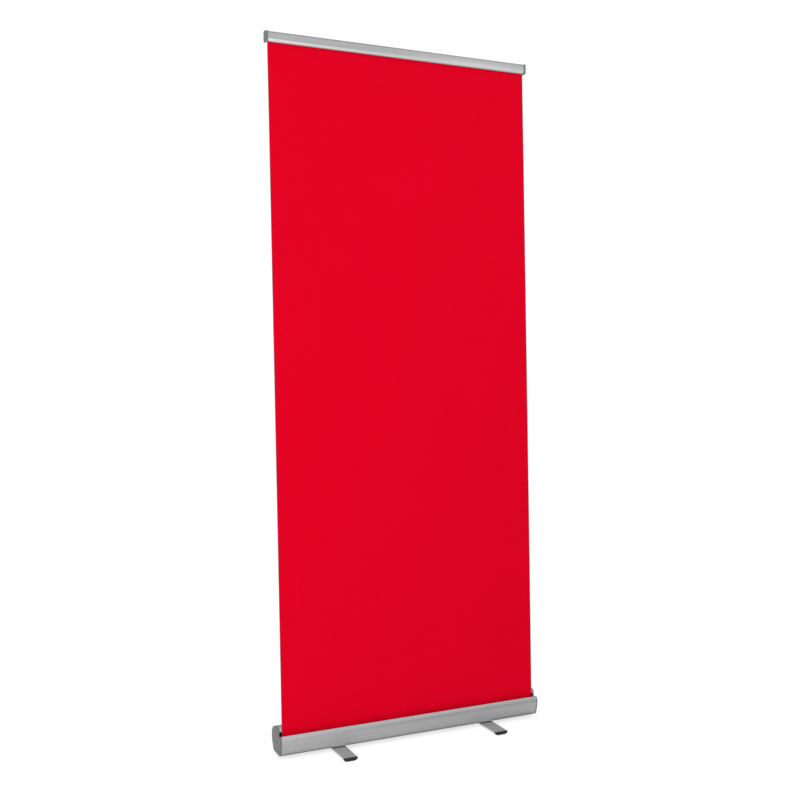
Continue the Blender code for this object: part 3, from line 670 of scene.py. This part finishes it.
def graphic():
    """Thin sheet, printed in front and slightly slack, with its top strip held in the rail."""
    low, high = span("banner_graphic", RAIL)
    seam = 0.0012               # above the rail's underside, out of sight behind the jaw
    wave_depth, curl_depth = 0.0005, 0.0008
    columns, rows = 68, 164

    def slack(x, up):
        held = min(1.0, (up - low.z) / 0.35, (seam - up) / 0.30)
        wave = math.sin(2.1 * x + 1.3) * math.sin(1.9 * up + 0.4) + 0.4 * math.sin(5.3 * x - 2.2 * up)
        curl = (2 * x / (high.x - low.x)) ** 6
        return (wave_depth * wave - curl_depth * curl) * held * held * (3 - 2 * held)

    drop = as_object(sheet_solid(low, Vector((high.x, high.y, seam)), columns, rows, slack),
                     "banner_graphic_finished")
    finish_piece(drop, "base", "graphic_red", PRINT, BACKING)
    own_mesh(drop)
    strip = as_object(sheet_solid(Vector((low.x, low.y, seam)), high, columns, 2, lambda x, up: 0.0),
                      "banner_graphic_held_finished")
    finish_piece(strip, "top_rail", "graphic_red", PRINT, BACKING, stands_for="banner_graphic")


def torsion_spring():
    low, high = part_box("torsion_spring")
    coil_radius, wire_radius, turns, steps = 0.0085, 0.0009, 22, 24
    centre = ROLLER.translation
    points = []
    for i in range(turns * steps + 1):
        angle = 2 * math.pi * i / steps
        x = low.x + wire_radius + (high.x - low.x - 2 * wire_radius) * i / (turns * steps)
        points.append((x, centre.y + coil_radius * math.sin(angle), centre.z - coil_radius * math.cos(angle)))
    item = as_object(wire(points, wire_radius), "torsion_spring_finished")
    finish_piece(item, "base", "spring_steel", SPRING_STEEL)


# Top rail

def rail_back():
    """Rear extrusion of the clamp: back wall, top, jaw hook, and the channel for the pole's clip."""
    low, high = span("top_rail_back", RAIL)
    face, middle_wall, rear_wall = 0.00055, 0.0016, 0.0014
    foot, rear_foot = 0.001, 0.013
    corner, inner_corner, front_corner = 0.0012, 0.0005, 0.0014
    hook_front, hook_rear, hook_foot, brow = -0.0072, -0.0054, 0.0226, 0.0022
    rear, front, top = high.y, low.y, high.z
    ceiling = top - WALL
    middle_part = [(face, foot, 0), (face + middle_wall, foot, inner_corner),
                   (face + middle_wall, ceiling, inner_corner)]
    rear_part = [(rear - rear_wall, ceiling, inner_corner), (rear - rear_wall, rear_foot, 0),
                 (rear, rear_foot, inner_corner), (rear, top, corner)]
    hook = [(front, top, front_corner), (front, top - brow, 0), (hook_front + 0.0006, top - brow, 0),
            (hook_front + 0.0006, hook_foot + 0.0016, 0), (hook_front, hook_foot + 0.0011, 0),
            (hook_front, hook_foot, 0), (hook_rear, hook_foot, 0.0004), (hook_rear, ceiling, inner_corner)]
    outline = fillet(middle_part + rear_part + hook + [(face, ceiling, inner_corner)])
    item = as_object(sweep(outline, low.x, high.x, RAIL), "top_rail_back_finished")
    rounded(item, width=0.0002, segments=2, angle=50)
    finish_piece(item, "top_rail", "anodised_silver", ALUMINIUM_X)


def rail_jaw():
    """Curved front of the clamp, hung from a round bead at its top, with a painted highlight on its lower
    edge: a lighter metal on the faces that turn down and forward.
    """
    low, high = span("top_rail_jaw", RAIL)
    bead = arc((JAW_BEAD.y, JAW_BEAD.z), 0.0012, -50, 165, 24)
    outer = (smooth_path([(-0.0096, 0.0250), (-0.0103, 0.0160), (-0.0104, 0.0078)])
             + smooth_path([(-0.0101, 0.0070), (-0.0088, 0.0036), (-0.0074, 0.0006)]))
    lip = [Vector((-0.0016, 0.0004)), Vector((-0.0006, 0.0012)), Vector((-0.0012, 0.0020))]
    inner = smooth_path([(-0.0064, 0.0022), (-0.0078, 0.0050), (-0.0088, 0.0140), (-0.0083, 0.0238)])
    item = as_object(sweep(outer + lip + inner + bead, low.x, high.x, RAIL), "top_rail_jaw_finished")
    rounded(item, width=0.0002, segments=2, angle=40)
    upright = RAIL.to_3x3().inverted()
    # Faces that turn down and forward take the painted highlight
    for face in item.data.polygons:
        facing = upright @ face.normal
        face.material_index = int(facing.y < -0.3 and facing.z < -0.2)
    finish_piece(item, "rail_jaw", "anodised_silver", ALUMINIUM_X, JAW_LIP_PAINTED_HIGHLIGHT)


def rail_cap(side, sign):
    """End cap a little taller than the rail, with a lug in the rail's rear channel."""
    low, high = span("top_rail_cap_" + side, RAIL)
    rail_end = span("top_rail_back", RAIL)[1].x
    corner, crown, shoulder = 0.002, 0.003, high.z - 0.0016
    corners = [(low.y, low.z, corner), (high.y, low.z, corner), (high.y, shoulder, corner),
               (0.0, high.z, crown), (low.y, shoulder, corner)]
    outer = max(abs(low.x), abs(high.x))
    item = as_object(sweep(fillet(corners), *sorted((sign * (rail_end + GAP), sign * outer)), RAIL),
                     "top_rail_cap_%s_finished" % side)
    rounded(item, width=0.0006, segments=4)
    lug_depth, lug_root = 0.010, 0.0015
    lug_front, lug_rear, lug_underside, lug_top = 0.0029, 0.0076, 0.0150, 0.0262
    left, right = sorted((sign * (rail_end - lug_depth), sign * (rail_end + lug_root)))
    combine(item, "UNION", block((left, lug_front, lug_underside), (right, lug_rear, lug_top), RAIL))
    finish_piece(item, "top_rail", "cap_grey", PALE_PLASTIC)


# Pole

POLE_WALL = 0.001
FERRULE_BORE = 0.0045
CORD_RADIUS = 0.0018


def heights(node):
    low, high = span(node, POLE)
    return low.z, high.z


def pole_piece(node, body, slot, profile, made, steps=64):
    """A piece turned about the pole's axis, with heights in the pole's frame."""
    item = as_object(lathe(profile, POLE, steps), node + "_finished")
    finish_piece(item, body, slot, made, angle=50)


def eased_ring(bore, radius, low, high, outer_ease=EASE):
    """Profile of a tube with its four edges chamfered."""
    return [(bore, high - EASE), (bore + EASE, high),
            (radius - outer_ease, high), (radius, high - outer_ease),
            (radius, low + outer_ease), (radius - outer_ease, low),
            (bore + EASE, low), (bore, low + EASE)]


def ferrule(section, bore):
    """Steel sleeve between two tubes, tapered at its top to find the next one."""
    low, high = heights("pole_%s_ferrule" % section)
    snug, taper, lead, rim = bore - GAP, 0.0012, 0.003, 0.0004
    sleeve = [(FERRULE_BORE, high - rim), (FERRULE_BORE + rim, high),
              (snug - taper, high), (snug, high - lead), (snug, low + rim), (snug - rim, low),
              (FERRULE_BORE + rim, low), (FERRULE_BORE, low + rim)]
    pole_piece("pole_%s_ferrule" % section, "pole_" + section, "zinc_steel", sleeve, DRAWN_STEEL)


def pole_plugs(radius, bore):
    """The plug that stands in the socket, and the one that closes the pole's top."""
    snug, tip, collar, head = bore - GAP, 0.0008, 0.002, 0.0015
    low, high = heights("pole_foot_plug")
    foot_plug = [(0, high), (bore - tip, high), (snug, high - 0.0005), (snug, low + collar),
                 (radius - EASE, low + collar), (radius, low + collar - EASE), (radius, low + tip),
                 (radius - tip, low), (0, low)]
    pole_piece("pole_foot_plug", "pole_lower", "nylon_black", foot_plug, NYLON_BLACK)
    low, high = heights("pole_top_plug")
    top_plug = [(0, high), (radius - 0.0012, high), (radius - 0.0004, high - EASE), (radius, high - 0.0009),
                (radius, high - head), (snug, high - head), (snug, low + 0.0005), (bore - tip, low), (0, low)]
    pole_piece("pole_top_plug", "pole_upper", "nylon_black", top_plug, NYLON_BLACK)


def pole():
    low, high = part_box("pole_lower_tube")
    radius = (high.x - low.x) / 2
    bore = radius - POLE_WALL
    for section in ("lower", "middle", "upper"):
        node = "pole_%s_tube" % section
        ring = eased_ring(bore, radius, *heights(node))
        pole_piece(node, "pole_" + section, "anodised_silver", ring, ALUMINIUM_Z)
        if section != "upper":
            ferrule(section, bore)
    pole_plugs(radius, bore)
    low, high = heights("shock_cord")
    cord = [(0, high), (CORD_RADIUS, high), (CORD_RADIUS, low), (0, low)]
    pole_piece("shock_cord", "pole_lower", "cord_black", cord, CORD, 24)


def pole_socket():
    """Cup that the pole stands in, with a boss for its screw."""
    low, high = span("pole_socket", POLE)
    well, rim, foot_radius, taper = 0.0083, (high.x - low.x) / 2, 0.007, 0.004
    floor_z = heights("pole_foot_plug")[0] - GAP
    cup = [(0, floor_z), (well, floor_z), (well, high.z - 0.0014), (well + 0.0003, high.z - 0.0006),
           (well + 0.0008, high.z), (rim - 0.0003, high.z), (rim, high.z - 0.0004), (rim, low.z + taper),
           (foot_radius, low.z), (0, low.z)]
    item = as_object(lathe(cup, POLE, 64), "pole_socket_finished")
    screw_z = middle("pole_socket_screw").z
    boss_half, boss_rear, pilot_radius, pilot_depth = 0.0055, 0.0375, 0.0013, 0.003
    boss_front = middle("pole_foot_plug").y + well + 0.0006
    combine(item, "UNION", block((-boss_half, boss_front, screw_z - boss_half),
                                 (boss_half, boss_rear, screw_z + boss_half)))
    at_screw = Matrix.Translation((0, 0, screw_z)) @ REARWARD
    pilot = rod(pilot_radius, boss_rear - pilot_depth, boss_rear + pilot_depth, at_screw, 24)
    combine(item, "DIFFERENCE", pilot)
    finish_piece(item, "base", "nylon_black", NYLON_BLACK, angle=45)


def pole_clip():
    """Clip sleeved on the pole's top, with a tongue that stands in the rail's rear channel."""
    low, high = span("pole_top_clip", POLE)
    clip_wall, half, tongue_depth = 0.0013, 0.008, 0.0032
    outer, inner, front = high.x, high.x - clip_wall, low.y
    plug_top = heights("pole_top_plug")[1] - 0.0015
    arm_low, arm_high = plug_top - 0.012, plug_top - 0.003
    ring = eased_ring(inner, outer, low.z, plug_top - 0.001, outer_ease=0.0004)
    item = as_object(lathe(ring, POLE, 64), "pole_top_clip_finished")
    arm = as_object(block((-half, front, arm_low), (half, -inner + 0.0001, arm_high), POLE), "arm")
    combine(arm, "UNION", block((-half, front, arm_low), (half, front + tongue_depth, high.z), POLE))
    rounded(arm, width=0.0007)
    shape = bmesh.new()
    shape.from_mesh(arm.data)
    bpy.data.objects.remove(arm)
    combine(item, "UNION", shape)
    finish_piece(item, "pole_upper", "nylon_black", NYLON_BLACK, angle=45)


# Feet

FOOT_WALL = 0.0016
FOOT_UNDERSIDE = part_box("foot_bar_left")[0].z
FOOT_FLAT = 0.010               # half of the underside's flat part
FOOT_OPENING = 0.0092           # half of the opening along the underside
GROOVE_COUNT = 5
GROOVE_PITCH = 0.0076
GROOVE_WIDTH = 0.0024           # at the foot's top face
GROOVE_FLOOR = 0.0014
GROOVE_DEPTH = 0.0006
BOLT_HOLE = 0.0028              # radius, in the bar and the washer


def foot_side(inset, low, top, steps=14):
    """Right side of the boat-shaped section, from its shoulder round to the underside."""
    width, shoulder = FOOT_HALF - inset - FOOT_FLAT, top - 0.0012
    angles = [math.pi / 2 * i / steps for i in range(steps + 1)]
    return [(FOOT_FLAT + width * math.cos(a), shoulder - (shoulder - low) * math.sin(a), 0) for a in angles]


def mirrored(side):
    return [(-x, z, radius) for x, z, radius in reversed(side)]


def foot_section():
    """The bar: a grooved channel, open along its underside."""
    grooves = []
    for i in range(GROOVE_COUNT):
        centre = (i - (GROOVE_COUNT - 1) / 2) * GROOVE_PITCH
        grooves += [(centre - GROOVE_WIDTH / 2, FOOT_TOP, 0.0002),
                    (centre - GROOVE_FLOOR / 2, FOOT_TOP - GROOVE_DEPTH, 0.0002),
                    (centre + GROOVE_FLOOR / 2, FOOT_TOP - GROOVE_DEPTH, 0.0002),
                    (centre + GROOVE_WIDTH / 2, FOOT_TOP, 0.0002)]
    lip = [(FOOT_OPENING, FOOT_UNDERSIDE, 0.0004), (FOOT_OPENING, FOOT_UNDERSIDE + FOOT_WALL, 0.0004)]
    ceiling = FOOT_TOP - FOOT_WALL
    inner = foot_side(FOOT_WALL, FOOT_UNDERSIDE + FOOT_WALL, ceiling)
    right = (foot_side(0, FOOT_UNDERSIDE, FOOT_TOP) + lip + inner[::-1]
             + [(FOOT_HALF - FOOT_WALL, ceiling, 0.0005)])
    top = [(-FOOT_HALF, FOOT_TOP, 0.0009)] + grooves + [(FOOT_HALF, FOOT_TOP, 0.0009)]
    return fillet(top + right + mirrored(right), 4)


def foot_solid(inset, low, top):
    side = foot_side(inset, low, top)
    edge = FOOT_HALF - inset
    return fillet([(-edge, top, 0.0009), (edge, top, 0.0009)] + side + mirrored(side), 4)


def foot_bar(side, at_pivot, along_y):
    """The bar with its bolt hole, and painted shade in its grooves: nearly black metal that only the camera
    sees.
    """
    low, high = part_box("foot_bar_" + side)
    bar = as_object(sweep(foot_section(), low.y, high.y, along_y), "foot_bar_%s_finished" % side)
    combine(bar, "DIFFERENCE", rod(BOLT_HOLE, 0, 0.02, at_pivot, 32))
    grooved = GROOVE_COUNT / 2 * GROOVE_PITCH
    for face in bar.data.polygons:
        across, up = face.center.x - at_pivot.translation.x, face.center.z
        # Faces down in a groove take the painted shade
        sunk = FOOT_TOP - 0.8 * FOOT_WALL < up < FOOT_TOP - GROOVE_DEPTH / 3
        face.material_index = int(sunk and abs(across) < grooved)
    finish_piece(bar, "foot_" + side, "anodised_silver", ALUMINIUM_Y, GROOVE_PAINTED_SHADE)


def foot_cap(side, place, along_y):
    """Rubber cap on one end of a bar, with a plug inside it."""
    node = "foot_cap_%s_%s" % (side, place)
    near, far = sorted((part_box(node)[0].y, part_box(node)[1].y), key=abs)
    bar_front, bar_rear = (corner.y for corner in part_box("foot_bar_" + side))
    face = bar_rear + GAP if far > 0 else bar_front - GAP
    cap = as_object(sweep(foot_solid(0, 0, FOOT_TOP), *sorted((face, far)), along_y), node + "_finished")
    rounded(cap, width=0.0007, segments=4)
    plug = foot_solid(FOOT_WALL + GAP, FOOT_UNDERSIDE + FOOT_WALL + GAP, FOOT_TOP - FOOT_WALL - GAP)
    root = face + math.copysign(0.002, far)
    combine(cap, "UNION", sweep(plug, *sorted((near, root)), along_y))
    finish_piece(cap, "foot_" + side, "rubber_black", RUBBER)


def foot_bolt(side, at_pivot):
    """Bolt with a low domed head and a hexagonal recess in its underside."""
    low, high = (corner.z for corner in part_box("foot_bolt_" + side))
    shank, head_radius, head = 0.0025, 0.0055, low + 0.0026
    recess_radius, recess_depth = 0.0017, 0.0014
    profile = [(0, high), (shank - EASE, high), (shank, high - 0.0004), (shank, head), (head_radius, head),
               (head_radius, head - 0.0009), (head_radius - 0.0005, head - 0.0018), (0.0038, low + 0.0002),
               (0.0030, low), (0, low)]
    bolt = as_object(lathe(profile, at_pivot), "foot_bolt_%s_finished" % side)
    combine(bolt, "DIFFERENCE", rod(recess_radius, 0, low + recess_depth, at_pivot, 6))
    finish_piece(bolt, "base", "zinc_steel", ZINC)


def foot_washer(side, at_pivot):
    low, high = (corner.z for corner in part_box("foot_washer_" + side))
    rim = 0.0085
    ring = [(BOLT_HOLE, high), (rim - EASE, high), (rim, high - EASE),
            (rim, low + EASE), (rim - EASE, low), (BOLT_HOLE, low)]
    washer = as_object(lathe(ring, at_pivot, 64), "foot_washer_%s_finished" % side)
    finish_piece(washer, "base", "nylon_white", NYLON_WHITE)


def foot(side):
    """Swivel foot: grooved bar, two rubber caps, and the bolt and washer under the base."""
    at_pivot = Matrix.Translation((JOINTS["foot_%s_swivel" % side]["pos_m"][0], 0, 0))
    along_y = at_pivot @ Matrix.Rotation(math.pi / 2, 4, "Z")
    foot_bar(side, at_pivot, along_y)
    for place in ("front", "rear"):
        foot_cap(side, place, along_y)
    foot_bolt(side, at_pivot)
    foot_washer(side, at_pivot)


# Pieces that keep the CAD model's shape, with their edges eased

def eased(node, body, slot, made):
    cage = bmesh.new()
    cage.from_mesh(frame["nodes"][node].data)
    bmesh.ops.remove_doubles(cage, verts=cage.verts, dist=1e-6)
    bmesh.ops.dissolve_limit(cage, angle_limit=math.radians(1), verts=cage.verts, edges=cage.edges)
    item = as_object(cage, node + "_finished")
    for attribute in [a for a in item.data.attributes if a.name in ("custom_normal", "sharp_edge")]:
        item.data.attributes.remove(attribute)
    rounded(item, width=EASE, segments=2, angle=50)
    finish_piece(item, body, slot, made)


EASED = {
    "roller_tube": ("roller", "anodised_silver", ALUMINIUM_X),
    "roller_plug_left": ("roller", "nylon_white", NYLON_WHITE),
    "roller_bush_right": ("roller", "nylon_white", NYLON_WHITE),
    "idler_pin_left": ("base", "zinc_steel", ZINC),
    "spring_axle": ("base", "zinc_steel", ZINC),
    "spring_anchor": ("base", "nylon_black", NYLON_BLACK),
    "foot_plate_left": ("base", "zinc_steel", ZINC),
    "foot_plate_right": ("base", "zinc_steel", ZINC),
    "foot_nut_left": ("base", "zinc_steel", ZINC),
    "foot_nut_right": ("base", "zinc_steel", ZINC),
}

base_housing()
screws()
banner_roll()
graphic()
torsion_spring()
rail_back()
rail_jaw()
pole()
pole_socket()
pole_clip()
for side_name, side_sign in SIDES.items():
    end_cap(side_name, side_sign)
    rail_cap(side_name, side_sign)
    foot(side_name)
for node_name, finish in EASED.items():
    eased(node_name, *finish)


# Floor, light and camera

FLOOR_WHITE = 0.45              # the camera sees a pale paper that glows, as on a white sweep
FLOOR_GLOW = 0.68
FLOOR_AHEAD = 0.15              # reflections see this tone on the floor ahead
FLOOR_SHADE = 0.02              # and, like all scattered light, this one under the base


def studio_floor():
    """White paper, which other pieces see dark under the base and, in reflections, ahead of it."""
    bpy.ops.mesh.primitive_plane_add(size=40)
    item = bpy.context.object
    item.name = "floor"
    made, tree, shader = start("floor_paper")
    cloud = speckle(tree, 3, 4)
    paper = blend_colour(tree, cloud, (FLOOR_WHITE - 0.01,) * 3, (FLOOR_WHITE + 0.01,) * 3)
    white = blend_colour(tree, cloud, (0.96, 0.96, 0.96), (0.99, 0.99, 0.99))
    seen = add(tree, "LightPath").outputs["Is Camera Ray"]
    place = add(tree, "SeparateXYZ", Vector=add(tree, "TexCoord").outputs["Object"]).outputs
    low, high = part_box("base_housing")
    deep = band(tree, place["Y"], (low.y - 0.003, low.y + 0.004), (high.y - 0.007, high.y + 0.003))
    long = spread(tree, maths(tree, "ABSOLUTE", place["X"]), 1.0, 0.0, high.x, high.x + 0.02)
    glossy = add(tree, "LightPath").outputs["Is Glossy Ray"]
    far = band(tree, place["Y"], (low.y - 2.0, low.y - 1.4), (low.y - 0.5, low.y - 0.10))
    far = maths(tree, "MULTIPLY", far, spread(tree, place["X"], 0.35, 1.0, low.x, high.x))
    far = maths(tree, "MULTIPLY", far, glossy)
    lighting = blend_colour(tree, far, white, (FLOOR_AHEAD,) * 3)
    lighting = blend_colour(tree, maths(tree, "MULTIPLY", deep, long), lighting, (FLOOR_SHADE,) * 3)
    connect(tree, blend_colour(tree, seen, lighting, paper), shader.inputs["Base Color"])
    shader.inputs["Roughness"].default_value = 0.9
    shader.inputs["Specular IOR Level"].default_value = 0.1
    shader.inputs["Emission Color"].default_value = (1, 1, 1, 1)
    connect(tree, maths(tree, "MULTIPLY", seen, FLOOR_GLOW), shader.inputs["Emission Strength"])
    connect(tree, bump(tree, speckle(tree, 900, 3), 0.0001, 0.3), shader.inputs["Normal"])
    item.data.materials.append(made)


def studio_world():
    """White for the camera, and a soft dome for the light.

    The dome is brighter overhead than at the horizon, dimmer behind, and dark along the horizon
    ahead. Reflections see that dark band deepen towards the right.
    """
    world = bpy.data.worlds.new("studio")
    bpy.context.scene.world = world
    world.use_nodes = True
    tree = world.node_tree
    background = tree.nodes["Background"]
    split = add(tree, "SeparateXYZ", Vector=add(tree, "TexCoord").outputs["Generated"])
    dome = spread(tree, split.outputs["Z"], 0.80, 1.15, -0.1, 0.9)
    behind = maths(tree, "MULTIPLY", spread(tree, split.outputs["Y"], 0.0, 1.0, 0.35, 0.75),
                   spread(tree, split.outputs["Z"], 1.0, 0.0, 0.45, 0.75))
    dome = maths(tree, "MULTIPLY", dome, maths(tree, "SUBTRACT", 1.0, maths(tree, "MULTIPLY", behind, 0.62)))
    ahead = maths(tree, "MULTIPLY", spread(tree, split.outputs["Y"], 1.0, 0.0, -0.8, -0.4),
                  spread(tree, split.outputs["Z"], 1.0, 0.0, 0.10, 0.35))
    glossy = add(tree, "LightPath").outputs["Is Glossy Ray"]
    deeper = maths(tree, "MULTIPLY", glossy, spread(tree, split.outputs["X"], 0.0, 0.50, 0.25, 0.60))
    ahead = maths(tree, "MULTIPLY", ahead, maths(tree, "ADD", deeper, 0.5))
    dome = maths(tree, "MULTIPLY", dome, maths(tree, "SUBTRACT", 1.0, ahead))
    seen = add(tree, "LightPath").outputs["Is Camera Ray"]
    connect(tree, blend_colour(tree, seen, blend_colour(tree, dome, (0, 0, 0), (1, 1, 1)), (1.2, 1.2, 1.2)),
            background.inputs["Color"])
    background.inputs["Strength"].default_value = 0.88


def softbox(name, place, target, side, power, spread_angle=180):
    """A square area light, aimed at a target and out of the camera's sight."""
    light = bpy.data.lights.new(name, "AREA")
    light.spread = math.radians(spread_angle)
    light.shape = "SQUARE"
    light.size = side
    light.energy = power
    item = bpy.data.objects.new(name, light)
    item.location = place
    item.rotation_euler = (Vector(target) - Vector(place)).to_track_quat("-Z", "Y").to_euler()
    item.visible_camera = False
    bpy.context.scene.collection.objects.link(item)


CAMERA_PLACE = Vector((-1.3605, -2.8867, 1.1606))
CAMERA_YAW, CAMERA_PITCH, CAMERA_ROLL = (math.radians(a) for a in (24.709, -3.300, -0.201))
FOCAL_LENGTH = 47.117
LENS_SHIFT = 0.025


def studio_camera():
    camera = bpy.data.cameras.new("camera")
    camera.sensor_width = 36
    camera.lens = FOCAL_LENGTH
    camera.shift_y = LENS_SHIFT
    item = bpy.data.objects.new("camera", camera)
    ahead = Vector((math.sin(CAMERA_YAW) * math.cos(CAMERA_PITCH),
                    math.cos(CAMERA_YAW) * math.cos(CAMERA_PITCH), math.sin(CAMERA_PITCH)))
    aim = ahead.to_track_quat("-Z", "Y").to_matrix().to_4x4() @ Matrix.Rotation(CAMERA_ROLL, 4, "Z")
    item.matrix_world = Matrix.Translation(CAMERA_PLACE) @ aim
    bpy.context.scene.collection.objects.link(item)
    bpy.context.scene.camera = item


studio_floor()
studio_world()
softbox("key", place=(-3.1, -3.6, 1.5), target=(-0.1, 0, 0.5), side=2.0, power=88)
softbox("rail_light", place=(2.3, -2.5, 2.5), target=(0.3, 0, 2.0), side=1.0, power=1.7, spread_angle=60)
studio_camera()
bpy.context.scene.view_settings.view_transform = "Standard"
